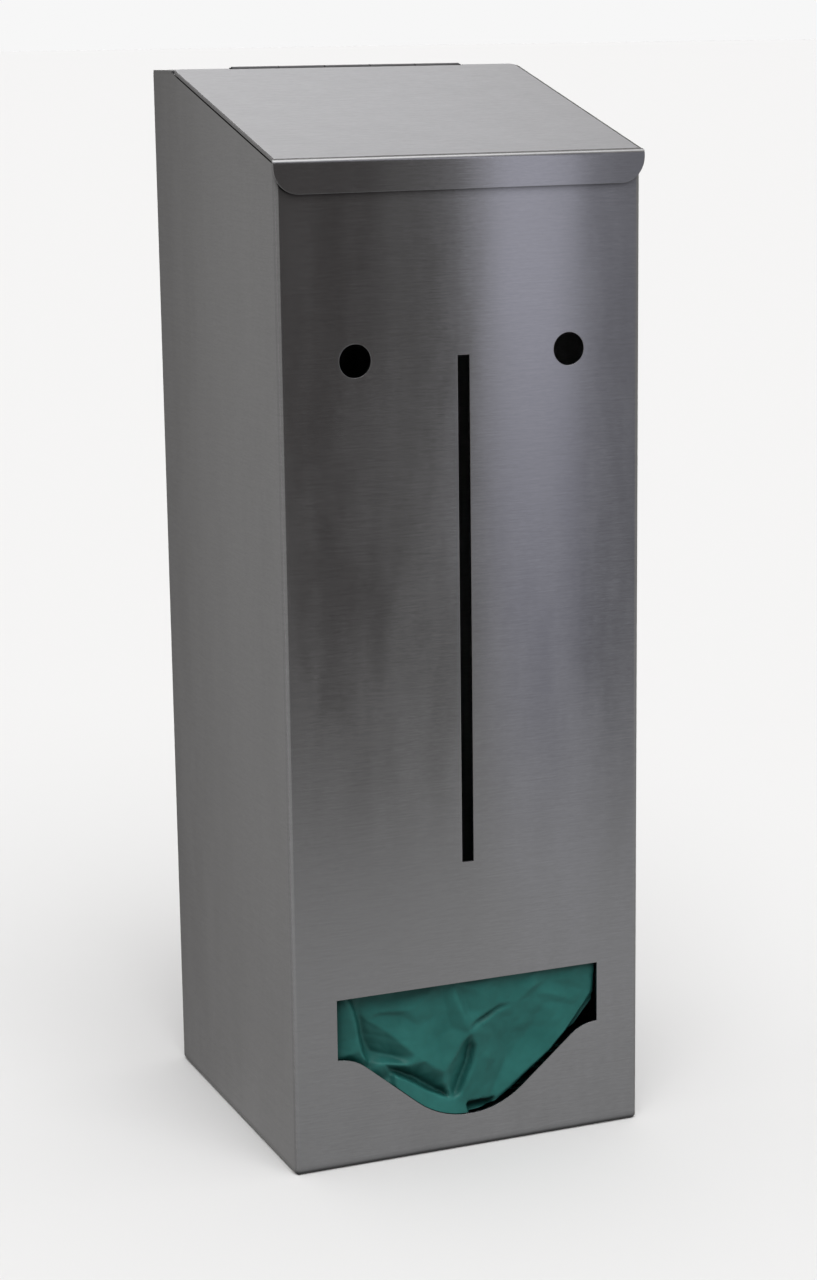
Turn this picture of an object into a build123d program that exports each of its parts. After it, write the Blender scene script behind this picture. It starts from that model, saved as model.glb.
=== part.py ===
from build123d import *
from math import cos, radians, sin, tan
import os

# Wall-mounted dispenser for folded film bags. Origin at the middle of the base's footprint,
# +X to the viewer's right, -Y out of the front, +Z up. Millimetres and degrees.

# --- Driving dimensions -----------------------------------------------------------------
SHEET = 1.0                 # stainless sheet, used for every folded part
BEND = 2.0                  # outer radius of every fold
BODY_WIDTH = 152.4
BODY_DEPTH = 147.6          # front face to the outside of the rear flanges
LIP_STAND_OFF = 2.0         # lid lip's face in front of the body's front face
LEVEL_EDGE = 433.0          # height of the sides' level edge, under the rear strip
LID_SLOPE = 15.0
HINGE_INSET = 27.4          # hinge axis in front of the body's rear

REAR_FLANGE = 20.0
BOTTOM_FLANGE = 15.0
FRONT_FLANGE = 10.0
FLOOR_UPSTAND = 13.0

# Dispensing opening: a rectangle with an S-curved scoop below it.
OPENING_HALF_WIDTH = 57.5
OPENING_TOP = 71.3
SHOULDER_HEIGHT = 46.0
SHOULDER_RADIUS = 18.5
SCOOP_RADIUS = 36.0
SCOOP_ANGLE = 40.0

# Sight slot and the two holes through which the upper wall screws are turned.
SLOT_WIDTH = 5.0
SLOT_TOP = 325.8
SLOT_LENGTH = 204.0
HOLE_RADIUS = 6.5
HOLE_SPREAD = 90.0

# Wall screws through the back panel.
SCREW_HOLE_RADIUS = 2.75
SCREW_ROWS = (57.8, SLOT_TOP)

# Lid.
LID_HALF_WIDTH = 76.6
LIP_HALF_WIDTH = 77.0
LIP_BOTTOM = 389.4
LIP_CORNER_RADIUS = 10.0
LID_REAR_CORNER_RADIUS = 4.0
LID_GAP = 0.95              # between the lid's underside and the body's sloping edges

# Hinge: five knuckles, three on the body's leaf and two on the lid's.
HINGE_LENGTH = 101.6
KNUCKLE_COUNT = 5
KNUCKLE_RADIUS = 1.55
KNUCKLE_CLEARANCE = 0.3     # between neighbouring knuckles
LEAF = 0.8                  # leaf thickness
LEAF_WIDTH = 22.0
LEAF_NOTCH = 2.0            # leaf set back from the axis at the other leaf's knuckles
PIN_RADIUS = 0.75
PIN_PLAY = 0.05             # radial, between the pin and every knuckle
PIN_HEAD_RADIUS = 1.2
PIN_HEAD = 0.6
AXIS_DROP = 0.45            # axis below the strip's top face
LID_TOP_ABOVE_AXIS = 1.15   # measured square to the lid
EDGE_SETBACK = 1.0          # lid's and strip's edges from the axis

# Bags.
BAG_CLEARANCE = 1.2         # bag inside the opening's outline
BAG_PLAY = 0.6              # bag behind the front sheet
BAG_DEPTH = 36.0
TAIL_LENGTH = 50.0
TAIL_HALF_WIDTH = 42.0
TAIL_BOTTOM = 47.5
TAIL_TOP = 60.0
SPARE_COUNT = 6
SPARE_SIZE = (132.0, 98.0, 7.2)
SPARE_ROUND = 3.0
SPARE_SHIFT = 1.5           # sideways stagger of the stacked bags
SPARE_TWIST = 1.5           # degrees, alternating

# --- Derived places ---------------------------------------------------------------------
Y_WALL = (BODY_DEPTH + SHEET + LIP_STAND_OFF) / 2
Y_REAR = Y_WALL - SHEET
Y_FRONT = Y_REAR - BODY_DEPTH
Y_LIP = Y_FRONT - LIP_STAND_OFF
Y_INSIDE = Y_FRONT + SHEET
Y_HINGE = Y_REAR - HINGE_INSET
X_SIDE = BODY_WIDTH / 2
STRIP_TOP = LEVEL_EDGE + SHEET
Z_HINGE = STRIP_TOP - AXIS_DROP
SLOPE_TAN = tan(radians(LID_SLOPE))
SLOPE_COS = cos(radians(LID_SLOPE))
SLOPE_SIN = sin(radians(LID_SLOPE))
FLOOR_TOP = 2 * SHEET
PART_HEIGHT = Z_HINGE + KNUCKLE_RADIUS
BEYOND = 5.0                # how far cutting tools run past the faces they cut
FIT = 1.2                   # flat sheets stay this far from the inside of a fold


def block(x_span, y_span, z_span):
    """A box between the given pairs of coordinates."""
    spans = (x_span, y_span, z_span)
    sizes = [high - low for low, high in spans]
    middle = [(high + low) / 2 for low, high in spans]
    return Pos(*middle) * Box(*sizes)


def slope_height(y, above_axis):
    """Height, at y, of the plane parallel to the lid that passes above_axis over the hinge axis."""
    return Z_HINGE + above_axis / SLOPE_COS + (y - Y_HINGE) * SLOPE_TAN


def edge_height(y):
    """Height of the body's sloping top edge at y."""
    return slope_height(y, LID_TOP_ABOVE_AXIS - SHEET - LID_GAP)


def folded_sheet(path, half_width, thickness=SHEET):
    """A sheet folded along a path of (y, z) points on its middle surface."""
    middle = FilletPolyline(*path, radius=BEND - SHEET / 2)
    section = trace(middle, thickness)
    return extrude(Plane.YZ * section, half_width, both=True)


def through_front(outline):
    """A cutter of the given (x, z) outline that runs through the front sheet."""
    front_plane = Plane(origin=(0, Y_INSIDE + BEYOND, 0), x_dir=(1, 0, 0), z_dir=(0, -1, 0))
    return extrude(front_plane * outline, SHEET + 2 * BEYOND)


def opening_outline():
    """Rectangle above, scoop below: reverse arc, straight flank, round bottom and back again."""
    flank = (OPENING_HALF_WIDTH - (SHOULDER_RADIUS + SCOOP_RADIUS) * sin(radians(SCOOP_ANGLE)))
    flank_length = flank / cos(radians(SCOOP_ANGLE))
    turns = (
        (SHOULDER_RADIUS, SCOOP_ANGLE),
        (SCOOP_RADIUS, -2 * SCOOP_ANGLE),
        (SHOULDER_RADIUS, SCOOP_ANGLE),
    )
    point = Vector(OPENING_HALF_WIDTH, SHOULDER_HEIGHT)
    heading = Vector(-1, 0)
    edges = []
    for number, (radius, angle) in enumerate(turns):
        if number:
            straight = Line(point, point + heading * flank_length)
            edges.append(straight)
            point = straight @ 1
        arc = JernArc(start=point, tangent=heading, radius=radius, arc_size=angle)
        edges.append(arc)
        point = arc @ 1
        heading = arc % 1
    top_left = (-OPENING_HALF_WIDTH, OPENING_TOP)
    top_right = (OPENING_HALF_WIDTH, OPENING_TOP)
    edges.append(Polyline(point, top_left, top_right, (OPENING_HALF_WIDTH, SHOULDER_HEIGHT)))
    return make_face(Curve() + edges)


def body_block(inset):
    """The body's outer shape moved in by inset, with its folded edges rounded."""
    x = X_SIDE - inset
    outer = block((-x, x), (Y_FRONT + inset, Y_REAR - inset), (inset, LEVEL_EDGE + 2 * BEYOND))
    base = outer.faces().sort_by(Axis.Z)[0]
    return fillet(outer.edges().filter_by(Axis.Z) + base.edges(), BEND - inset)


def above_body():
    """Everything above the sides' top edges: sloping in front of the hinge, level behind it."""
    front, rear, top = Y_FRONT - BEYOND, Y_REAR + BEYOND, LEVEL_EDGE + 3 * BEYOND
    outline = Polyline(
        (front, edge_height(front)),
        (Y_HINGE, edge_height(Y_HINGE)),
        (Y_HINGE, LEVEL_EDGE),
        (rear, LEVEL_EDGE),
        (rear, top),
        (front, top),
        close=True,
    )
    return extrude(Plane.YZ * make_face(outline), X_SIDE + BEYOND, both=True)


def body_shell():
    """Front and sides folded from one sheet, with flanges behind, below and along the front's top."""
    shell = body_block(0) - body_block(SHEET) - above_body()
    rear_window = X_SIDE - REAR_FLANGE
    shell -= block((-rear_window, rear_window), (Y_REAR - BEND - SHEET, Y_REAR + 1), (-1, STRIP_TOP))
    floor_window = X_SIDE - BOTTOM_FLANGE
    shell -= block(
        (-floor_window, floor_window),
        (Y_FRONT + BOTTOM_FLANGE, Y_REAR + 1),
        (-1, FLOOR_TOP),
    )
    # The rear corners are cropped where the back panel folds over them.
    crop = 1.5 * SHEET
    shell -= block((-X_SIDE, X_SIDE), (Y_REAR - crop, Y_REAR + 1), (LEVEL_EDGE - crop, STRIP_TOP))

    # The front's top edge is folded inwards under the lid.
    flange_half_width = X_SIDE - BEND - 1
    middle_y = Y_FRONT + SHEET / 2
    fold = Vector(middle_y, edge_height(middle_y) - SHEET / 2 / SLOPE_COS)
    fold_start = fold - Vector(0, 2 * BEND + BEND)
    fold_end = fold + Vector(SLOPE_COS, SLOPE_SIN) * FRONT_FLANGE
    shell -= block(
        (-flange_half_width, flange_half_width),
        (Y_FRONT - 1, Y_INSIDE + 1),
        (fold_start.Y, STRIP_TOP),
    )
    shell += folded_sheet([fold_start, fold, fold_end], flange_half_width)

    shell -= through_front(opening_outline())
    slot_middle = SLOT_TOP - SLOT_LENGTH / 2
    shell -= through_front(Pos(0, slot_middle) * Rectangle(SLOT_WIDTH, SLOT_LENGTH))
    for x in (-HOLE_SPREAD / 2, HOLE_SPREAD / 2):
        shell -= through_front(Pos(x, SLOT_TOP) * Circle(HOLE_RADIUS))
    return shell


def hinge_clearance(y_span, z_span):
    """Cutter that makes room for the knuckles and the pin's heads in a sheet's edge."""
    half_length = HINGE_LENGTH / 2 + 2 * PIN_HEAD
    return block((-half_length, half_length), y_span, z_span)


def back_panel():
    """Rear sheet against the wall, its top folded forward as the level strip."""
    middle = Y_WALL - SHEET / 2
    path = [
        Vector(middle, BEND),
        Vector(middle, STRIP_TOP - SHEET / 2),
        Vector(Y_HINGE + EDGE_SETBACK, STRIP_TOP - SHEET / 2),
    ]
    panel = folded_sheet(path, X_SIDE)
    panel_half_width = X_SIDE - BEND
    for side in (-1, 1):
        inner, outer = side * panel_half_width, side * (X_SIDE + 1)
        x_span = (min(inner, outer), max(inner, outer))
        panel -= block(x_span, (Y_REAR - BEND, Y_WALL + 1), (0, PART_HEIGHT))
    panel -= hinge_clearance((Y_HINGE, Y_HINGE + LEAF_NOTCH), (LEVEL_EDGE - 1, PART_HEIGHT))
    for x in (-HOLE_SPREAD / 2, HOLE_SPREAD / 2):
        for z in SCREW_ROWS:
            panel -= Pos(x, Y_WALL, z) * Rot(X=90) * Cylinder(SCREW_HOLE_RADIUS, 2 * BEYOND)
    return panel


def bottom_plate():
    """Floor sheet on the bottom flanges, turned up at the rear against the rear flanges."""
    middle_z = 1.5 * SHEET
    rear = Y_REAR - 1.5 * SHEET
    path = [
        Vector(Y_INSIDE + FIT, middle_z),
        Vector(rear, middle_z),
        Vector(rear, SHEET + FLOOR_UPSTAND),
    ]
    return folded_sheet(path, X_SIDE - SHEET - FIT)


def in_lid_frame(shape):
    """Moves a shape from axes along the lid, centred on the hinge, to its place at rest."""
    return Pos(0, Y_HINGE, Z_HINGE) * Rot(X=LID_SLOPE) * shape


def lid():
    """Sloping cover sheet with a lip folded down over the front."""
    middle = LID_TOP_ABOVE_AXIS - SHEET / 2
    lip_middle = Y_LIP + SHEET / 2
    rear_end = Vector(
        Y_HINGE - EDGE_SETBACK * SLOPE_COS - middle * SLOPE_SIN,
        Z_HINGE - EDGE_SETBACK * SLOPE_SIN + middle * SLOPE_COS,
    )
    path = [
        rear_end,
        Vector(lip_middle, slope_height(lip_middle, middle)),
        Vector(lip_middle, LIP_BOTTOM),
    ]
    sheet = folded_sheet(path, LIP_HALF_WIDTH)
    lip_corners = sheet.edges().filter_by(Axis.Y).group_by(Axis.Z)[0]
    sheet = fillet(lip_corners, LIP_CORNER_RADIUS)
    for side in (-1, 1):
        inner, outer = side * LID_HALF_WIDTH, side * (LIP_HALF_WIDTH + 1)
        x_span = (min(inner, outer), max(inner, outer))
        sheet -= block(x_span, (Y_LIP + BEND, Y_HINGE), (LIP_BOTTOM, PART_HEIGHT))
    across_sheet = Axis((0, 0, 0), (0, -SLOPE_SIN, SLOPE_COS))
    rear_corners = sheet.edges().filter_by(across_sheet).sort_by(Axis.Y)[-2:]
    sheet = fillet(rear_corners, LID_REAR_CORNER_RADIUS)
    notch = hinge_clearance((-LEAF_NOTCH, LEAF_NOTCH), (-SHEET, 3 * SHEET))
    return sheet - in_lid_frame(notch)


def hinge_leaf(towards, leaf_top, own_parity):
    """A leaf in axes centred on the hinge: towards is -1 or 1 in y, leaf_top its height over the axis."""
    pitch = HINGE_LENGTH / KNUCKLE_COUNT
    far = towards * LEAF_WIDTH
    span = (min(0, far), max(0, far))
    leaf = block((-HINGE_LENGTH / 2, HINGE_LENGTH / 2), span, (leaf_top - LEAF, leaf_top))
    for number in range(KNUCKLE_COUNT):
        middle = (number + 0.5) * pitch - HINGE_LENGTH / 2
        if number % 2 == own_parity:
            length = pitch - KNUCKLE_CLEARANCE
            leaf += Pos(middle, 0, 0) * Rot(Y=90) * Cylinder(KNUCKLE_RADIUS, length)
        else:
            half = (pitch + KNUCKLE_CLEARANCE) / 2
            gap = (middle - half, middle + half)
            leaf -= block(gap, (-LEAF_NOTCH, LEAF_NOTCH), (-BEYOND, BEYOND))
    bore = Rot(Y=90) * Cylinder(PIN_RADIUS + PIN_PLAY, HINGE_LENGTH + 2 * BEYOND)
    return leaf - bore


def hinge_leaf_body():
    """Fixed leaf under the level strip, with the outer and middle knuckles."""
    return Pos(0, Y_HINGE, Z_HINGE) * hinge_leaf(1, LEVEL_EDGE - Z_HINGE, 0)


def hinge_leaf_lid():
    """Moving leaf under the lid, with the two knuckles between."""
    return in_lid_frame(hinge_leaf(-1, LID_TOP_ABOVE_AXIS - SHEET, 1))


def hinge_pin():
    """Pin through all knuckles, with a peened head at each end."""
    pin = Rot(Y=90) * Cylinder(PIN_RADIUS, HINGE_LENGTH)
    for side in (-1, 1):
        head = Rot(Y=90) * Cylinder(PIN_HEAD_RADIUS, PIN_HEAD)
        pin += Pos(side * (HINGE_LENGTH + PIN_HEAD) / 2, 0, 0) * head
    return Pos(0, Y_HINGE, Z_HINGE) * pin


def front_bag():
    """The bag that is taken next: a bunch of film in the opening, its tail over the stack."""
    bag_face = offset(opening_outline(), -BAG_CLEARANCE, kind=Kind.INTERSECTION)
    face_y = Y_INSIDE + BAG_PLAY
    front_plane = Plane(origin=(0, face_y, 0), x_dir=(1, 0, 0), z_dir=(0, -1, 0))
    bunch = extrude(front_plane * bag_face, -BAG_DEPTH)
    tail_start = face_y + BAG_DEPTH - BEND
    tail = block(
        (-TAIL_HALF_WIDTH, TAIL_HALF_WIDTH),
        (tail_start, tail_start + TAIL_LENGTH),
        (TAIL_BOTTOM, TAIL_TOP),
    )
    return bunch + tail


def spare_bag(number):
    """A folded bag of the stack, staggered and twisted a little against its neighbours."""
    width, depth, thickness = SPARE_SIZE
    packet = Box(*SPARE_SIZE)
    packet = fillet(packet.edges(), SPARE_ROUND)
    side = 1 if number % 2 else -1
    x = side * SPARE_SHIFT
    y = Y_REAR - SHEET - depth / 2 - SPARE_ROUND
    z = FLOOR_TOP + (number - 0.5) * thickness
    return Pos(x, y, z) * Rot(Z=side * SPARE_TWIST) * packet


def main():
    os.makedirs("parts", exist_ok=True)
    parts = {
        "body_shell": body_shell(),
        "back_panel": back_panel(),
        "bottom_plate": bottom_plate(),
        "lid": lid(),
        "hinge_leaf_body": hinge_leaf_body(),
        "hinge_leaf_lid": hinge_leaf_lid(),
        "hinge_pin": hinge_pin(),
        "front_bag": front_bag(),
    }
    for number in range(1, SPARE_COUNT + 1):
        parts[f"spare_bag_{number}"] = spare_bag(number)
    for name, shape in parts.items():
        export_step(shape, f"parts/{name}.step")


main()
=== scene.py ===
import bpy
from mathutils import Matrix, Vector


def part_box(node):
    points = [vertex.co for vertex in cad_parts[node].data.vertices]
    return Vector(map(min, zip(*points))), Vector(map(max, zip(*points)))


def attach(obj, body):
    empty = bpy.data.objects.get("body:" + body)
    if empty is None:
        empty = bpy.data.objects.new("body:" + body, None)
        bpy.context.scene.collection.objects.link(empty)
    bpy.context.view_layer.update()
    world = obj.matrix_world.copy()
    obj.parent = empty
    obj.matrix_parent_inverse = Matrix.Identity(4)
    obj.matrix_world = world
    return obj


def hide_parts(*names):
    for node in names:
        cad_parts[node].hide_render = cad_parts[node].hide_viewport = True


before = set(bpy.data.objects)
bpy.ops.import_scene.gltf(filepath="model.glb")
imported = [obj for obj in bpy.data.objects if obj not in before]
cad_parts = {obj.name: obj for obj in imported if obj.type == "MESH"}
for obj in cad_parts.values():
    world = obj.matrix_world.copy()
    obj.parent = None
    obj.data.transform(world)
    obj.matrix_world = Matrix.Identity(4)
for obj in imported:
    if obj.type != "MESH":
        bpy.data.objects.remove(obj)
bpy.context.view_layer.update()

import math

import bpy
import numpy as np
from mathutils import Matrix, Vector, noise
from mathutils.geometry import delaunay_2d_cdt

# Everything is in metres, in the CAD's frame: +X right, -Y out of the front, +Z up.
MM = 0.001
SHELL_LOW, SHELL_HIGH = (Vector(corner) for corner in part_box("body_shell"))
FRONT_Y = SHELL_LOW.y
SHELL_HALF_WIDTH = SHELL_HIGH.x

# --- Camera ------------------------------------------------------------------------------
CAMERA_AZIMUTH = math.radians(-22.17)
CAMERA_ELEVATION = math.radians(12.19)
CAMERA_ROLL = math.radians(-0.77)
CAMERA_DISTANCE = 1.179
CAMERA_AIM = Vector((0.0046, -0.0017, 0.1986))
CAMERA_LENS = 78.98


def make_camera():
    """Camera at the photograph's viewing angle, aimed a little below the middle of the body."""
    data = bpy.data.cameras.new("camera")
    data.lens = CAMERA_LENS
    data.sensor_width = 36.0
    camera = bpy.data.objects.new("camera", data)
    bpy.context.scene.collection.objects.link(camera)
    back = Vector((
        math.sin(CAMERA_AZIMUTH) * math.cos(CAMERA_ELEVATION),
        -math.cos(CAMERA_AZIMUTH) * math.cos(CAMERA_ELEVATION),
        math.sin(CAMERA_ELEVATION),
    ))
    level = Vector((0, 0, 1)).cross(back).normalized()
    turn = Matrix.Rotation(CAMERA_ROLL, 3, back)
    right = turn @ level
    up = back.cross(right)
    pose = Matrix((right, up, back)).transposed().to_4x4()
    pose.translation = CAMERA_AIM + back * CAMERA_DISTANCE
    camera.matrix_world = pose
    bpy.context.scene.camera = camera
    return camera


# --- Shader helpers ----------------------------------------------------------------------
class Shader:
    """A small builder for one node tree: call it with a node kind, settings and inputs."""

    def __init__(self, owner):
        owner.use_nodes = True
        self.tree = owner.node_tree
        self.tree.nodes.clear()

    def __call__(self, kind, settings=None, **inputs):
        made = self.tree.nodes.new(kind)
        for name, value in (settings or {}).items():
            setattr(made, name, value)
        for name, value in inputs.items():
            self.feed(made, name, value)
        return made

    def feed(self, made, name, value):
        """Links a socket, or sets a plain value; words in a socket's name are joined by _."""
        wanted = name.replace("_", " ").lower()
        socket = next(s for s in made.inputs if s.enabled and s.name.lower() == wanted)
        if isinstance(value, bpy.types.NodeSocket):
            self.tree.links.new(value, socket)
        else:
            socket.default_value = value

    def math(self, operation, first, second=0.0, clamp=False):
        made = self("ShaderNodeMath", {"operation": operation, "use_clamp": clamp})
        for socket, value in zip(made.inputs, (first, second)):
            if isinstance(value, bpy.types.NodeSocket):
                self.tree.links.new(value, socket)
            else:
                socket.default_value = value
        return made.outputs[0]

    def scaled(self, coordinates, scale):
        """Coordinates stretched by a different factor along each axis."""
        made = self("ShaderNodeMapping", Vector=coordinates, Scale=scale)
        return made.outputs["Vector"]

    def noise(self, coordinates, scale, detail=2.0, roughness=0.5):
        made = self("ShaderNodeTexNoise", Vector=coordinates, Scale=scale, Detail=detail,
                    Roughness=roughness)
        return made.outputs["Fac"]

    def ramp(self, factor, stops):
        """A colour ramp of (position, grey or colour) stops."""
        made = self("ShaderNodeValToRGB", Fac=factor)
        elements = made.color_ramp.elements
        while len(elements) < len(stops):
            elements.new(1.0)
        for element, (position, colour) in zip(elements, stops):
            element.position = position
            element.color = (*colour, 1.0) if isinstance(colour, tuple) else (colour,) * 3 + (1.0,)
        return made.outputs["Color"]

    def spread(self, value, low, high):
        """Maps a 0 to 1 value onto low to high."""
        made = self("ShaderNodeMapRange", Value=value, To_Min=low, To_Max=high)
        return made.outputs["Result"]


# --- Steel -------------------------------------------------------------------------------
STEEL_TONE = 0.46
STEEL_ROUGHNESS = 0.18
STEEL_ANISOTROPY = 0.97
GRAIN_LONG = 85.0           # streaks per metre along the grain
GRAIN_FINE = 1700.0         # streaks per metre across the grain
GRAIN_CONTRAST = 0.20       # share of the tone that the grain's flecks differ by
MARK_CONTRAST = 0.12        # share of the tone and roughness that handling marks change
SHADE_REACH = 4 * MM             # how far the painted shade beside a lip or fold darkens the sheet
EDGE_ROUNDING = 0.35 * MM   # cut edges catch the light as if a little worn
SHEET = 1.0 * MM
INSIDE_TONE = 1.5           # the inner faces' tone, times the outer faces'
INSIDE_ROUGHNESS = 0.34     # added on the inner faces
BLUE_TINT = 1.015


def inside_share(shader, place):
    """1 on faces that look into the box, 0 on its outer faces."""
    axes = shader("ShaderNodeSeparateXYZ", Vector=place).outputs
    half = SHEET / 2
    across = shader.math("LESS_THAN", shader.math("ABSOLUTE", axes["X"]), SHELL_HALF_WIDTH - half)
    front = shader.math("GREATER_THAN", axes["Y"], FRONT_Y + half)
    back = shader.math("LESS_THAN", axes["Y"], SHELL_HIGH.y - half)
    return shader.math("MULTIPLY", across, shader.math("MULTIPLY", front, back))


def brushed_steel(name, across, tone=STEEL_TONE, roughness=STEEL_ROUGHNESS, marks=1.0):
    """Brushed stainless sheet. across is 1 along each axis that lies across the grain."""
    material = bpy.data.materials.new(name)
    shader = Shader(material)
    place = shader("ShaderNodeTexCoord").outputs["Object"]
    stretch = tuple(GRAIN_FINE if flag else GRAIN_LONG for flag in across)
    long_streaks = shader.noise(shader.scaled(place, stretch), 1.0, 3.0)
    dash_stretch = tuple(GRAIN_FINE if flag else GRAIN_LONG * 4 for flag in across)
    dashes = shader.noise(shader.scaled(place, dash_stretch), 1.0, 2.0)
    grain = shader.math("ADD", shader.math("MULTIPLY", long_streaks, 0.5),
                        shader.math("MULTIPLY", dashes, 0.5))
    # Handling marks: soft clouds, drawn out up and down the sheet.
    clouds = shader.noise(shader.scaled(place, (22.0, 22.0, 8.0)), 1.0, 4.0, 0.6)
    smears = shader.ramp(shader.noise(shader.scaled(place, (60.0, 60.0, 14.0)), 1.0, 3.0, 0.55),
                         [(0.38, 0.0), (0.62, 1.0)])
    mark = shader.math("ADD", shader.math("MULTIPLY", clouds, 0.7),
                       shader.math("MULTIPLY", smears, 0.3))
    fleck = shader.spread(grain, tone * (1 - GRAIN_CONTRAST), tone * (1 + GRAIN_CONTRAST))
    # Painted shade: ambient occlusion darkens the sheet's colour beside a lip, a fold or an inner
    # corner.
    openness = shader("ShaderNodeAmbientOcclusion", {"samples": 6}, Distance=SHADE_REACH).outputs["AO"]
    recess = shader("ShaderNodeMapRange", Value=openness, From_Min=0.45, From_Max=0.95,
                    To_Min=0.15, To_Max=1.0).outputs["Result"]
    shade = shader.math("MULTIPLY", recess,
                        shader.spread(mark, 1 - MARK_CONTRAST * marks, 1 + MARK_CONTRAST * marks))
    value = shader.math("MULTIPLY", fleck, shade)
    rough = shader.math(
        "ADD",
        shader.spread(grain, roughness - 0.03, roughness + 0.03),
        shader.math("MULTIPLY", shader.math("SUBTRACT", mark, 0.5), MARK_CONTRAST * marks),
    )
    # The mill's own finish is left on the inside of the box: duller and paler.
    inside = inside_share(shader, place)
    value = shader.math("MULTIPLY", value, shader.spread(inside, 1.0, INSIDE_TONE))
    rough = shader.math("ADD", rough, shader.math("MULTIPLY", inside, INSIDE_ROUGHNESS))
    colour = shader("ShaderNodeCombineColor",
                    Red=value, Green=value, Blue=shader.math("MULTIPLY", value, BLUE_TINT))
    rounded = shader("ShaderNodeBevel", {"samples": 4}, Radius=EDGE_ROUNDING)
    bump = shader("ShaderNodeBump", Height=grain, Strength=0.25, Distance=0.00002,
                  Normal=rounded.outputs["Normal"])
    # The highlight is drawn out across the grain, up the wall or up the lid's slope.
    drawn_out = shader("ShaderNodeVectorTransform",
                       {"vector_type": "VECTOR", "convert_from": "OBJECT", "convert_to": "WORLD"},
                       Vector=Vector(across).normalized())
    surface = shader(
        "ShaderNodeBsdfPrincipled",
        Base_Color=colour.outputs[0],
        Metallic=1.0,
        Roughness=rough,
        Anisotropic=STEEL_ANISOTROPY,
        Normal=bump.outputs["Normal"],
        Tangent=drawn_out.outputs["Vector"],
    )
    shader("ShaderNodeOutputMaterial", Surface=surface.outputs["BSDF"])
    return material


def dress(node, material):
    """Gives every material slot of a CAD node the material."""
    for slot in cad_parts[node].material_slots:
        slot.material = material


def dress_steel():
    walls = brushed_steel("steel_walls", across=(0, 0, 1))
    covers = brushed_steel("steel_covers", across=(0, 1, 1), marks=0.6)
    # The hinge's darker tone is painted shade: it keeps the knuckles from catching the bright
    # light overhead.
    hinge = brushed_steel("steel_hinge", across=(0, 1, 1), tone=0.22, roughness=0.36)
    for node in ("body_shell", "back_panel", "bottom_plate"):
        dress(node, walls)
    dress("lid", covers)
    for node in ("hinge_leaf_body", "hinge_leaf_lid", "hinge_pin"):
        dress(node, hinge)


# --- Film bags ---------------------------------------------------------------------------
# Lengths in this section are in millimetres until a mesh is made.
BAG_CUT = (196.0, 330.0)    # one flattened bag
OPENING_HALF_WIDTH = 57.5
OPENING_TOP = 71.3
SHOULDER_HEIGHT = 46.0
SHOULDER_RADIUS = 18.5
SCOOP_RADIUS = 36.0
SCOOP_ANGLE = math.radians(40)
FILM_GAP = 0.25             # film inside the opening's cut edge
FACE_COLUMNS = 144          # points across the front face, 0.8 apart
FACE_ROWS = 70              # and up it, at most 0.8 apart
PATH_STEP = 2.2             # between rows of points behind the front face
LAYER_GAP = 0.9             # between the bag's two halves, folded on each other
HANG_LOWER = 3.8            # the rear half's free edge below the front half's
HANG_BACK = 1.2             # and set back further there
TUCK_START = 1.8            # film deeper than this goes down behind the sheet on the left
TUCK_SLOPE = 0.45
UNFOLDED_DEPTH = 3.0        # where the fold lines don't reach
CRUMPLE = 0.9               # share of the wrinkles that the film behind the opening has
PLEAT_HEIGHT = 0.825        # at the opening
PLEAT_LOSS = 0.33           # lost where the film lies flat on the pile

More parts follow.
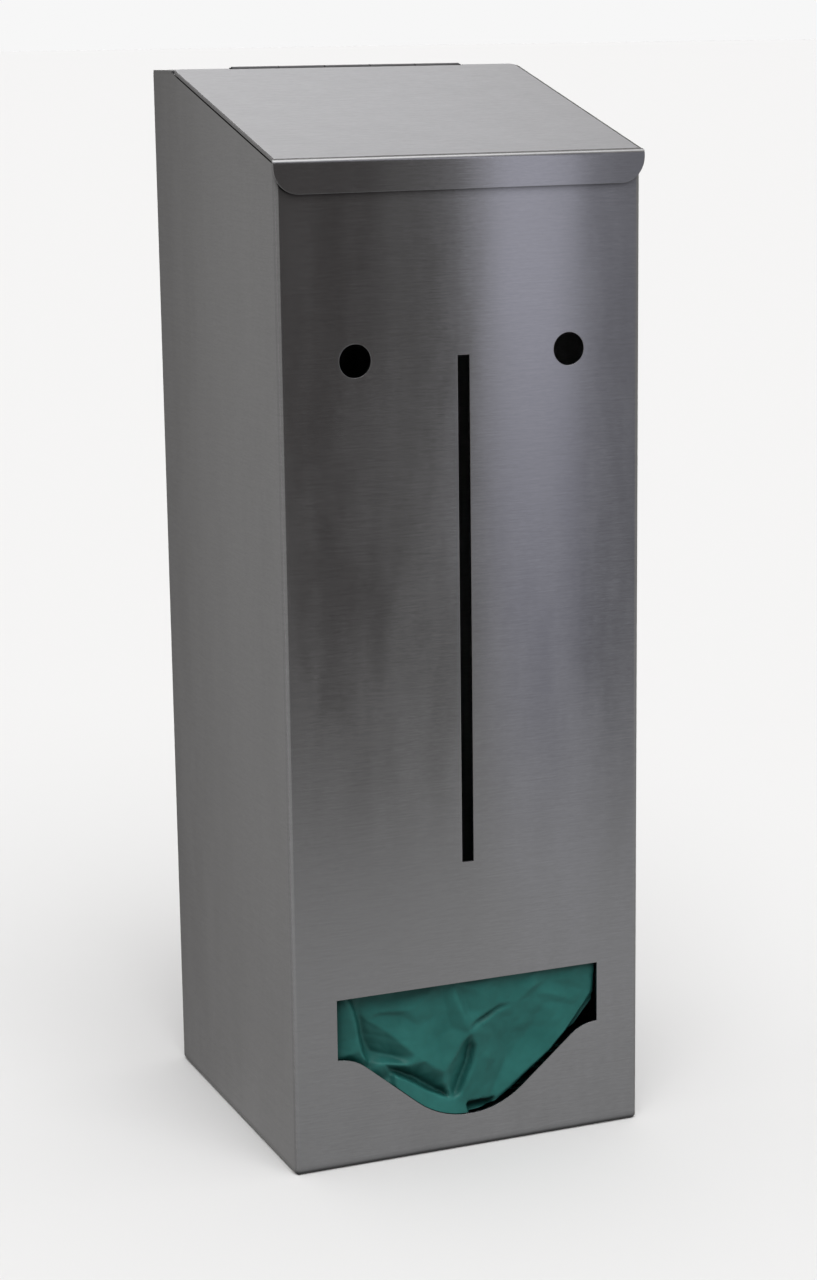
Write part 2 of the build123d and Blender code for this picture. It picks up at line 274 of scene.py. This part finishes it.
# Fold lines of the front face as (x, z, depth behind the front sheet's face).
FRONT_FOLDS = (
    # top edge, just inside the opening's top
    ((-57.5, 71.2, 5.4), (-52.8, 71.2, 1.8), (-50.0, 71.2, 6.0), (-43.0, 71.2, 6.6),
     (-27.0, 71.2, 6.8), (-13.4, 71.2, 5.4), (-5.5, 71.2, 3.0), (11.0, 71.2, 2.6),
     (31.0, 71.2, 2.2), (50.0, 71.2, 1.9), (57.5, 71.2, 2.4)),
    # left edge and the flap beside it
    ((-57.5, 60.0, 6.2), (-57.5, 52.0, 6.4), (-50.0, 47.5, 2.6)),
    ((-57.5, 45.5, 4.6), (-50.0, 44.0, 4.2), (-45.6, 41.0, 3.2), (-42.6, 38.3, 4.8),
     (-38.0, 34.4, 4.6), (-34.6, 31.7, 2.8)),
    ((-52.8, 71.2, 1.8), (-50.2, 65.0, 1.8), (-48.8, 59.3, 2.0), (-47.8, 53.5, 2.2),
     (-46.4, 47.5, 2.4), (-44.6, 43.8, 2.6)),
    ((-50.0, 71.2, 6.0), (-47.0, 63.8, 6.6), (-45.2, 57.9, 7.4), (-44.2, 52.2, 8.2),
     (-43.2, 46.4, 8.2), (-41.8, 42.4, 6.6)),
    # long ridge across the left half, and the hollow below it
    ((-42.4, 59.3, 5.6), (-35.6, 54.5, 4.4), (-23.2, 42.7, 2.4), (-10.6, 33.8, 1.1)),
    ((-40.3, 45.2, 9.2), (-37.0, 43.8, 8.8), (-31.6, 42.4, 7.6), (-25.4, 41.1, 4.2)),
    ((-36.3, 40.6, 3.6), (-25.8, 38.5, 2.2), (-18.4, 39.2, 1.6), (-15.1, 35.4, 1.4)),
    # deep pocket and the bright strip in front of it
    ((-31.5, 37.2, 6.6), (-28.0, 35.3, 7.2), (-22.8, 32.3, 7.6), (-15.4, 27.2, 7.2),
     (-9.4, 23.7, 5.8)),
    ((-33.4, 35.6, 5.0), (-33.6, 31.0, 3.0)),
    ((-32.0, 29.8, 0.8), (-31.8, 34.8, 1.8), (-25.9, 31.6, 1.7), (-18.4, 26.5, 1.6),
     (-7.5, 21.3, 1.6), (-0.9, 18.4, 1.5), (-0.4, 14.0, 0.6)),
    ((-10.6, 33.8, 1.1), (-10.4, 28.4, 1.5), (-7.5, 21.3, 1.6)),
    # shallow hollow at the top left, with one faint crease in it
    ((-34.2, 65.4, 6.4), (-23.6, 66.3, 5.8), (-13.8, 68.9, 4.8)),
    ((-38.5, 62.2, 4.8), (-24.1, 61.3, 4.0)),
    ((-36.0, 60.2, 5.8), (-28.9, 59.0, 5.8), (-20.0, 53.6, 5.2), (-13.0, 46.6, 4.6)),
    # main crease down the middle
    ((-5.5, 71.2, 3.0), (-4.2, 61.6, 1.6), (-2.0, 56.0, 1.2), (0.7, 48.6, 0.9)),
    ((-9.6, 66.0, 5.4), (-8.2, 59.0, 5.2), (-6.4, 51.1, 4.6)),
    ((-2.0, 65.0, 4.2), (0.8, 58.5, 3.8)),
    # short valley running up to the right, with a ridge under it
    ((2.0, 52.4, 1.8), (7.6, 55.2, 2.2), (14.6, 58.6, 2.4)),
    ((2.2, 50.8, 2.4), (8.3, 53.7, 4.6), (15.4, 57.2, 3.8)),
    ((0.7, 48.6, 0.9), (7.9, 52.2, 2.2), (14.8, 55.8, 2.4), (22.0, 58.0, 2.6)),
    # narrow facet turned to the right, and the ridge that stands beside it
    ((0.7, 48.6, 0.9), (-3.4, 44.0, 1.2), (-5.4, 40.6, 1.2), (-8.5, 36.1, 1.1),
     (-10.6, 33.8, 1.1)),
    ((1.0, 46.4, 2.6), (2.2, 41.9, 5.4), (0.7, 34.6, 6.0), (-2.0, 29.0, 6.0),
     (-5.0, 23.4, 5.0)),
    ((2.0, 46.8, 1.2), (3.8, 42.4, 1.3), (2.4, 34.9, 1.6), (-0.2, 29.0, 1.8),
     (-3.2, 23.0, 2.0)),
    # right half: a broad hollow and the ridge beside the free edge
    ((8.0, 36.0, 1.5), (7.0, 26.0, 1.7)),
    ((15.0, 44.5, 4.3), (18.5, 35.0, 4.6), (14.0, 26.0, 3.8)),
    ((35.0, 56.0, 3.2), (29.5, 46.0, 4.2)),
    ((56.2, 59.0, 2.4), (51.6, 53.3, 1.9), (43.8, 43.4, 1.6), (36.1, 35.6, 1.6),
     (26.5, 28.7, 1.6), (18.7, 22.8, 1.7), (12.4, 18.6, 1.8)),
    # wrinkles at the top right
    ((6.0, 65.0, 2.0), (15.0, 67.4, 3.2), (24.0, 67.8, 3.0)),
    ((22.0, 65.8, 3.0), (29.0, 64.4, 1.6), (36.0, 66.0, 2.8), (46.0, 65.3, 1.8)),
    ((30.0, 61.0, 2.8), (38.0, 60.0, 1.9), (45.0, 61.6, 2.4)),
    # dark fold at the bottom, then the free lower edge on the right
    ((0.1, 18.6, 2.0), (9.3, 18.7, 2.0)),
    ((0.5, 14.0, 2.0), (0.9, 17.6, 8.0), (9.4, 17.6, 8.0), (9.0, 15.0, 2.4)),
    ((11.0, 16.0, 2.4), (19.6, 21.2, 3.2), (27.4, 27.3, 3.4), (37.0, 34.2, 3.5),
     (44.8, 42.1, 3.6), (52.7, 51.9, 3.6), (57.5, 57.1, 4.0)),
    # where the film lies on the scoop's edge
    ((-8.0, 15.0, 0.3), (-18.0, 18.7, 0.3), (-25.0, 23.4, 0.3), (-29.0, 27.0, 0.4)),
)
# Free lower edge on the right, as (x, z): above it is film, below it is the dark inside.
FREE_EDGE = ((10.4, 16.2), (11.0, 16.8), (19.6, 21.9), (27.4, 27.8), (37.0, 34.7), (44.8, 42.6),
             (52.7, 52.4), (57.1, 57.6))
# The bag's way behind the front face, as (y, z, half width): back over the pile, to and fro in
# three folds, and down behind the front face.
BAG_WAY = (
    (-62.0, 69.3, 55.0), (-50.0, 65.0, 49.0), (-38.0, 60.5, 43.0), (-20.0, 58.7, 42.0),
    (9.5, 58.0, 42.0), (11.6, 56.5, 42.0), (9.5, 55.0, 42.0), (-18.0, 55.0, 41.5),
    (-33.0, 55.0, 41.5), (-35.0, 53.4, 41.5), (-33.0, 51.8, 41.5), (-12.0, 51.6, 41.5),
    (9.5, 51.4, 41.5), (11.6, 50.0, 41.5), (9.5, 48.6, 41.5), (-14.0, 48.4, 41.0),
    (-31.0, 48.2, 41.0), (-37.5, 45.5, 40.5), (-41.0, 38.0, 37.0), (-47.0, 30.0, 29.0),
    (-54.0, 25.0, 23.0), (-60.0, 22.5, 19.0),
)


def scoop_edge(x):
    """Height of the opening's lower edge at x: arc, straight flank and round bottom."""
    x = abs(x)
    shoulder = OPENING_HALF_WIDTH - SHOULDER_RADIUS * math.sin(SCOOP_ANGLE)
    foot = SCOOP_RADIUS * math.sin(SCOOP_ANGLE)
    shoulder_z = SHOULDER_HEIGHT - SHOULDER_RADIUS * (1 - math.cos(SCOOP_ANGLE))
    foot_z = shoulder_z - (shoulder - foot) * math.tan(SCOOP_ANGLE)
    if x > shoulder:
        across = min(OPENING_HALF_WIDTH - x, SHOULDER_RADIUS)
        return SHOULDER_HEIGHT - SHOULDER_RADIUS + math.sqrt(SHOULDER_RADIUS ** 2 - across ** 2)
    if x > foot:
        return shoulder_z - (shoulder - x) * math.tan(SCOOP_ANGLE)
    middle = foot_z + SCOOP_RADIUS * math.cos(SCOOP_ANGLE)
    return middle - math.sqrt(SCOOP_RADIUS ** 2 - x ** 2)


def facets(lines):
    """Flat triangles between fold lines: an array of (triangle, corner, (x, z, depth))."""
    points, links = [], []
    for line in lines:
        links += [(len(points) + n, len(points) + n + 1) for n in range(len(line) - 1)]
        points += line
    flat = [Vector(point[:2]) for point in points]
    places, _, faces, origins, _, _ = delaunay_2d_cdt(flat, links, [], 0, 0.01)
    corners = [(place.x, place.y, points[origin[0]][2]) for place, origin in zip(places, origins)]
    return np.array([[corners[n] for n in face] for face in faces])


def depth_of(x, z, triangles):
    """Depth of the faceted surface at every (x, z)."""
    depth = np.full(x.shape, np.nan)
    for a, b, c in triangles:
        size = (b[0] - a[0]) * (c[1] - a[1]) - (c[0] - a[0]) * (b[1] - a[1])
        if abs(size) < 1e-6:
            continue
        v = ((x - a[0]) * (c[1] - a[1]) - (c[0] - a[0]) * (z - a[1])) / size
        w = ((b[0] - a[0]) * (z - a[1]) - (x - a[0]) * (b[1] - a[1])) / size
        inside = (v >= -1e-6) & (w >= -1e-6) & (v + w <= 1 + 1e-6)
        depth[inside] = (a[2] + v * (b[2] - a[2]) + w * (c[2] - a[2]))[inside]
    depth[np.isnan(depth)] = UNFOLDED_DEPTH
    return depth


def softened(grid):
    """A grid of heights with its folds a little rounded off."""
    wide = np.pad(grid, 1, mode="edge")
    return (4 * grid + wide[2:, 1:-1] + wide[:-2, 1:-1] + wide[1:-1, 2:] + wide[1:-1, :-2]) / 8


def wrinkles(places, seed):
    """Small crumples, in mm, at an array of places: sharp ridges on a soft swell."""
    flat = places.reshape(-1, 3)
    offset = Vector((17.3 * seed, 5.1 * seed, 9.7 * seed))
    height = [
        0.30 * noise.noise(Vector(p) * 0.09 + offset)
        + 0.34 * (0.35 - abs(noise.noise(Vector(p) * 0.19 - offset)))
        + 0.10 * (0.35 - abs(noise.noise(Vector(p) * 0.43 + offset)))
        for p in flat
    ]
    return np.array(height).reshape(places.shape[:-1])


def front_face(recess, seed):
    """Rows of points of the film's face in the opening, from its lower edge to its top.

    The rear half of the bag is set back by recess and hangs a little below the front half.
    """
    edge_x, edge_z = np.array(FREE_EDGE).T
    edge_z = edge_z - HANG_LOWER * (recess > 0)
    limit = OPENING_HALF_WIDTH - FILM_GAP
    x = np.linspace(-limit, limit, FACE_COLUMNS)
    low = np.array([
        max(scoop_edge(at) + FILM_GAP, np.interp(at, edge_x, edge_z) if at > edge_x[0] else 0)
        for at in x
    ])
    rise = np.linspace(0, 1, FACE_ROWS)[:, None]
    z = low + rise * (OPENING_TOP - FILM_GAP - low)
    x = np.broadcast_to(x, z.shape)
    depth = softened(depth_of(x, z, facets(FRONT_FOLDS)))
    places = np.stack([x, depth, z], axis=-1)
    # On the left the film's lower end goes a little way down behind the sheet.
    places[..., 2] -= TUCK_SLOPE * np.clip(depth - TUCK_START, 0, 4) * (1 - rise) ** 3 * (x < 0)
    # The wrinkles die down over the last 2 mm above the lower edge.
    margin = np.minimum(1, np.minimum(z - low, 2.0) / 2.0 + 0.3)
    places[..., 1] += wrinkles(places, seed) * margin + recess
    if recess:
        right = np.clip((x - edge_x[0]) / 12, 0, 1)
        places[..., 1] += HANG_BACK * right * np.clip(1.4 - (z - low) / 8, 0, 1)
    places[..., 1] += FRONT_Y / MM
    return places


def smooth_way(way, step):
    """Points along a smooth curve through the way's points, about a step apart."""
    way = [np.array(point) for point in way]
    before, after = 2 * way[0] - way[1], 2 * way[-1] - way[-2]
    padded = [before, *way, after]
    made = []
    for a, b, c, d in zip(padded, padded[1:], padded[2:], padded[3:]):
        count = max(2, round(float(np.linalg.norm((c - b)[:2])) / step))
        for t in np.linspace(0, 1, count, endpoint=False):
            made.append(0.5 * (2 * b + (c - a) * t + (2 * a - 5 * b + 4 * c - d) * t ** 2
                               + (3 * b - a - 3 * c + d) * t ** 3))
    return np.array([*made, way[-1]])


# Pleats, as (height, pleats across the width, drift along y, phase).
PLEATS = ((1.0, 3.2, 0.012, 0.6), (0.6, 6.7, -0.017, 2.1), (0.35, 11.3, 0.02, 4.0))


def gathers(share, y):
    """Height of the long pleats where the film is drawn together, at a share of its width."""
    return sum(
        height * np.sin(2 * math.pi * (count * share + drift * y) + phase)
        for height, count, drift, phase in PLEATS
    )


def ramp(value, start, end):
    """0 up to the start, 1 from the end on, and straight between them."""
    return min(max((value - start) / (end - start), 0), 1)


def bag_layer(offset, seed):
    """One half of the bag, folded on the other: its face in the opening, then its way behind."""
    face = front_face(offset, seed)
    share = np.linspace(0, 1, FACE_COLUMNS)
    way = smooth_way(BAG_WAY, PATH_STEP)
    along = np.gradient(way[:, :2], axis=0)
    along /= np.linalg.norm(along, axis=1)[:, None]
    square = np.stack([along[:, 1], -along[:, 0]], axis=1)   # towards the bag's other half
    rows = []
    for (y, z, half), (ny, nz) in zip(way, square):
        spread = np.stack([(2 * share - 1) * half, np.full(FACE_COLUMNS, y + ny * offset),
                           np.full(FACE_COLUMNS, z + nz * offset)], axis=1)
        # The pleats start behind the opening, and stop where the film goes down behind the face.
        height = PLEAT_HEIGHT - PLEAT_LOSS * ramp(y, -45, -30)
        spread[:, 2] += height * ramp(y, -66, -44) * ramp(z, 38, 50) * gathers(share, y)
        rows.append(spread)
    behind = np.array(rows)
    crumple = wrinkles(behind, seed + 3)
    behind[..., 1] += CRUMPLE * crumple
    behind[..., 2] += CRUMPLE * crumple
    # A smooth turn from the face's top edge into the first row behind it.
    top, first = face[-1], behind[0]
    turn = []
    for t in (0.12, 0.3, 0.55, 0.8):
        between = top + (first - top) * t
        between[:, 2] = top[:, 2] - (top[:, 2] - first[:, 2]) * t ** 2.2
        turn.append(between)
    return np.concatenate([face, turn, behind])


def sheet_mesh(name, layers):
    """A mesh of layers of the same grid of points, joined along their first column."""
    rows, columns = layers[0].shape[:2]
    points = np.concatenate([layer.reshape(-1, 3) for layer in layers]) * MM
    faces = []
    for number in range(len(layers)):
        start = number * rows * columns
        for row in range(rows - 1):
            for column in range(columns - 1):
                a = start + row * columns + column
                quad = (a, a + 1, a + columns + 1, a + columns)
                faces.append(quad if number == 0 else quad[::-1])
    for row in range(rows - 1):
        a, b = row * columns, rows * columns + row * columns
        faces.append((a, a + columns, b + columns, b))
    mesh = bpy.data.meshes.new(name)
    mesh.from_pydata(points.tolist(), [], faces)
    mesh.shade_smooth()
    piece = bpy.data.objects.new(name, mesh)
    bpy.context.scene.collection.objects.link(piece)
    return piece


def make_front_bag(film):
    piece = sheet_mesh("film_bag_front", [bag_layer(0.0, 1), bag_layer(LAYER_GAP, 2)])
    piece.data.materials.append(film)
    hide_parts("front_bag")
    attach(piece, "bag")


PACKET_TWIST = math.radians(1.5)
PACKET_RUN = BAG_CUT[1] / 2.5      # the bag's length lies in two whole runs and a half
PACKET_RISE = 2.4                  # from one run to the next
PACKET_BULGE = 0.1                 # middle of a run above its ends
PACKET_TURN = 1.0                  # a turn past the end of its runs
PACKET_BASE = 0.7                  # lowest run above the solid's underside
PACKET_GAP = 0.8                   # between the bag's two halves
PACKET_STEP = 3.0                  # between rows of points along the runs
PACKET_COLUMNS = 34


def packet_layer(number, offset, box):
    """One half of a folded bag: two and a half runs to and fro, seen along +Y."""
    low, high = (np.array(corner) / MM for corner in box)
    middle = (low + high) / 2
    half = PACKET_RUN / 2 - PACKET_TURN
    first = low[2] + PACKET_BASE
    second = first + PACKET_RISE
    third = second + PACKET_RISE
    way = [
        (-half, first), (0, first + PACKET_BULGE), (half, first),
        (half + PACKET_TURN, (first + second) / 2),
        (half, second), (0, second + PACKET_BULGE), (-half, second),
        (-half - PACKET_TURN, (second + third) / 2),
        (-half, third), (-half / 2, third + PACKET_BULGE), (0, third),
    ]
    path = smooth_way(way, PACKET_STEP)
    along = np.gradient(path, axis=0)
    along /= np.linalg.norm(along, axis=1)[:, None]
    path = path + offset * np.stack([-along[:, 1], along[:, 0]], axis=1)
    width = np.linspace(-BAG_CUT[0] / 4, BAG_CUT[0] / 4, PACKET_COLUMNS) + offset * 0.6
    x = np.broadcast_to(path[:, :1], (len(path), len(width)))
    y = np.broadcast_to(width, x.shape)
    z = np.broadcast_to(path[:, 1:], x.shape)
    flat = np.stack([x, y, z * 0], axis=-1)
    swell = 0.8 * wrinkles(flat * 0.8, 10 + number) + 0.2 * wrinkles(flat, 30 + number)
    twist = PACKET_TWIST * (-1) ** number
    turned_x = middle[0] + x * math.cos(twist) - y * math.sin(twist)
    turned_y = middle[1] + x * math.sin(twist) + y * math.cos(twist)
    return np.stack([turned_x, turned_y, z + swell], axis=-1)


def make_spare_bags(film):
    for number in range(1, 7):
        node, name = f"spare_bag_{number}", f"folded_bag_{number}"
        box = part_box(node)
        piece = sheet_mesh(name, [packet_layer(number, gap, box) for gap in (0.0, PACKET_GAP)])
        piece.data.materials.append(film)
        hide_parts(node)
        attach(piece, "body")


FILM_DARK = (0.021, 0.135, 0.121)
FILM_PALE = (0.031, 0.188, 0.170)
FILM_SHADE_REACH = 9 * MM        # how far across a fold the painted shade darkens the film


def film_material():
    """Thin green polyethylene: satin and faintly cloudy, with painted shade in its hollows."""
    material = bpy.data.materials.new("green_film")
    shader = Shader(material)
    place = shader("ShaderNodeTexCoord").outputs["Object"]
    clouds = shader.noise(place, 60.0, 3.0, 0.6)
    fine = shader.noise(place, 700.0, 2.0, 0.5)
    # Painted shade: ambient occlusion darkens the film's colour in its hollows and folds.
    openness = shader("ShaderNodeAmbientOcclusion", {"samples": 8},
                      Distance=FILM_SHADE_REACH).outputs["AO"]
    hollow = shader("ShaderNodeMapRange", Value=openness, From_Min=0.35, From_Max=0.95,
                    To_Min=0.25, To_Max=1.0).outputs["Result"]
    colour = shader.ramp(clouds, [(0.3, FILM_DARK), (0.7, FILM_PALE)])
    shade = shader("ShaderNodeVectorMath", {"operation": "SCALE"}, Vector=colour, Scale=hollow)
    bump = shader("ShaderNodeBump", Height=fine, Strength=0.12, Distance=0.0002)
    surface = shader(
        "ShaderNodeBsdfPrincipled",
        Base_Color=shade.outputs["Vector"],
        Roughness=shader.spread(clouds, 0.36, 0.48),
        Specular_IOR_Level=0.35,
        Normal=bump.outputs["Normal"],
    )
    shader("ShaderNodeOutputMaterial", Surface=surface.outputs["BSDF"])
    return material


# --- Studio ------------------------------------------------------------------------------
FLOOR_SIZE = 200.0
BACKDROP_LIGHT = 0.93       # the floor and the ground behind it show the same pale tone
CARD_DISTANCE = 0.70
CARD_TOP = 1.6
CARD_FOOT = -0.07
SIDE_CARD_FOOT = -0.30
SIDE_CARD_DISTANCE = 0.60
LEFT_DARK = (0.085, 0.080, 0.078)
LEFT_MIDDLE = (0.14, 0.137, 0.135)
# Front cards, as (name, from, to, stops): where each shows on the front, across it from its
# middle, and its (height, colour) stops.
FRONT_CARDS = (
    ("card_dark", -0.200, -0.034, [(0.0, LEFT_DARK), (1.0, LEFT_DARK)]),
    ("card_middle", -0.034, 0.002, [(0.0, LEFT_MIDDLE), (1.0, LEFT_MIDDLE)]),
    ("card_bright", 0.010, 0.050, [(0.0, (0.30, 0.30, 0.34)), (0.12, (0.36, 0.36, 0.43)),
                                   (0.25, (0.66, 0.66, 0.76)), (0.5, (0.70, 0.70, 0.80))]),
    ("card_edge", 0.050, 0.140, [(0.0, (0.19, 0.19, 0.21)), (0.12, (0.17, 0.17, 0.19)),
                                 (0.25, (0.25, 0.25, 0.28))]),
)
SIDE_PALE = (0.30, 0.295, 0.29)
SIDE_DARK = (0.16, 0.156, 0.154)
KEY_DIRECTION = (-0.10, -0.65, 1.0)
KEY_SPREAD = math.radians(50)
KEY_STRENGTH = 1.65


def emission(name, axis, stops):
    """Light whose colour changes along one axis, by (place, colour) stops."""
    low, high = stops[0][0], stops[-1][0]
    material = bpy.data.materials.new(name)
    shader = Shader(material)
    position = shader("ShaderNodeNewGeometry").outputs["Position"]
    place = shader("ShaderNodeSeparateXYZ", Vector=position).outputs[axis]
    share = shader("ShaderNodeMapRange", Value=place, From_Min=low, From_Max=high)
    colour = shader.ramp(share.outputs["Result"],
                         [((at - low) / (high - low), tone) for at, tone in stops])
    glow = shader("ShaderNodeEmission", Color=colour, Strength=1.0)
    shader("ShaderNodeOutputMaterial", Surface=glow.outputs["Emission"])
    return material


def make_floor():
    bpy.ops.mesh.primitive_plane_add(size=FLOOR_SIZE, location=(0, 0, 0))
    floor = bpy.context.object
    floor.name = "floor"
    material = bpy.data.materials.new("floor_paint")
    shader = Shader(material)
    paint = shader("ShaderNodeBsdfPrincipled", Base_Color=(0.80, 0.80, 0.80, 1), Roughness=1.0,
                   Specular_IOR_Level=0.0)
    shader("ShaderNodeOutputMaterial", Surface=paint.outputs["BSDF"])
    floor.data.materials.append(material)
    floor.visible_glossy = False
    floor.visible_diffuse = False


def make_world():
    """Soft room light that the steel mirrors, and a plain pale ground for the camera."""
    world = bpy.data.worlds.new("studio")
    bpy.context.scene.world = world
    shader = Shader(world)
    direction = shader("ShaderNodeTexCoord").outputs["Generated"]
    height = shader("ShaderNodeSeparateXYZ", Vector=direction).outputs["Z"]
    room = shader.ramp(height, [
        (0.0, (0.31, 0.305, 0.30)),
        (0.55, (0.27, 0.262, 0.258)),
        (0.80, (0.36, 0.345, 0.335)),
        (0.90, (1.55, 1.55, 1.55)),
        (1.0, (2.15, 2.15, 2.15)),
    ])
    room_light = shader("ShaderNodeBackground", Color=room, Strength=1.0)
    plain = shader("ShaderNodeBackground", Color=(*[BACKDROP_LIGHT] * 3, 1), Strength=1.0)
    is_camera = shader("ShaderNodeLightPath").outputs["Is Camera Ray"]
    mix = shader("ShaderNodeMixShader", Fac=is_camera)
    shader.tree.links.new(room_light.outputs[0], mix.inputs[1])
    shader.tree.links.new(plain.outputs[0], mix.inputs[2])
    shader("ShaderNodeOutputWorld", Surface=mix.outputs[0])


def mirrored_place(at, seen_at, eye, card_at):
    """Where, across the mirror, a card card_at away from it shows up at seen_at on the mirror.

    at is the mirror's own place and eye the camera's, both (across, away from the mirror)."""
    return seen_at + (seen_at - eye[0]) * card_at / (eye[1] - at)


def make_card(name, corners, axis, stops):
    """A card that is seen only in reflections."""
    mesh = bpy.data.meshes.new(name)
    mesh.from_pydata(corners, [], [(0, 1, 2, 3)])
    card = bpy.data.objects.new(name, mesh)
    bpy.context.scene.collection.objects.link(card)
    mesh.materials.append(emission(name, axis, stops))
    for ray in ("camera", "diffuse", "shadow", "transmission", "volume_scatter"):
        setattr(card, f"visible_{ray}", False)


def upright(ends, foot):
    """Corners of an upright card between two (x, y) ends."""
    (x0, y0), (x1, y1) = ends
    return [(x0, y0, foot), (x1, y1, foot), (x1, y1, CARD_TOP), (x0, y0, CARD_TOP)]


def make_front_cards(eye):
    """Upright stripes that the front mirrors, from the dark left to the bright right."""
    y = FRONT_Y - CARD_DISTANCE
    for name, low, high, stops in FRONT_CARDS:
        ends = [(mirrored_place(0, x, (eye.x, FRONT_Y - eye.y), CARD_DISTANCE), y)
                for x in (low, high)]
        make_card(name, upright(ends, CARD_FOOT), "Z", stops)


def make_ground_card():
    """The table in front, as the foot of the front mirrors it: brighter further out."""
    half, near, far = 1.0, FRONT_Y - 0.005, FRONT_Y - CARD_DISTANCE
    corners = [(-half, near, CARD_FOOT), (half, near, CARD_FOOT),
               (half, far, CARD_FOOT), (-half, far, CARD_FOOT)]
    make_card("card_ground", corners, "Y", [
        (far, (0.48, 0.48, 0.48)), (far + 0.3, (0.43, 0.43, 0.43)), (near, (0.33, 0.33, 0.33))])


def make_side_card(eye):
    """A card behind on the left, which darkens the left side towards its rear edge."""
    side_x, y = SHELL_LOW.x, SHELL_HIGH.y + SIDE_CARD_DISTANCE
    image_x = 2 * side_x - eye.x
    front_x, rear_x = (
        side_x + (side_x - image_x) * (y - at) / (at - eye.y)
        for at in (SHELL_LOW.y, SHELL_HIGH.y)
    )
    span = rear_x - front_x
    far, near = front_x - 3 * span, rear_x + 2 * span
    stops = [
        (far, SIDE_PALE), (front_x, (0.305, 0.30, 0.295)), (front_x + 0.55 * span, SIDE_PALE),
        (front_x + 0.85 * span, (0.23, 0.225, 0.22)), (rear_x + 0.2 * span, SIDE_DARK),
        (near, SIDE_DARK),
    ]
    make_card("card_side", upright([(far, y), (near, y)], SIDE_CARD_FOOT), "X", stops)


def make_cards(eye):
    make_front_cards(eye)
    make_ground_card()
    make_side_card(eye)


def make_light():
    """A soft even light from above and in front, not mirrored by the steel."""
    data = bpy.data.lights.new("key_light", "SUN")
    data.angle = KEY_SPREAD
    data.energy = KEY_STRENGTH
    light = bpy.data.objects.new("key_light", data)
    bpy.context.scene.collection.objects.link(light)
    light.rotation_mode = "QUATERNION"
    light.rotation_quaternion = Vector(KEY_DIRECTION).to_track_quat("Z", "Y")
    light.visible_glossy = False


# --- Put together ------------------------------------------------------------------------
camera = make_camera()
dress_steel()
film = film_material()
make_spare_bags(film)
make_front_bag(film)
make_world()
make_floor()
make_cards(camera.matrix_world.translation)
make_light()
bpy.context.scene.view_settings.view_transform = "Standard"
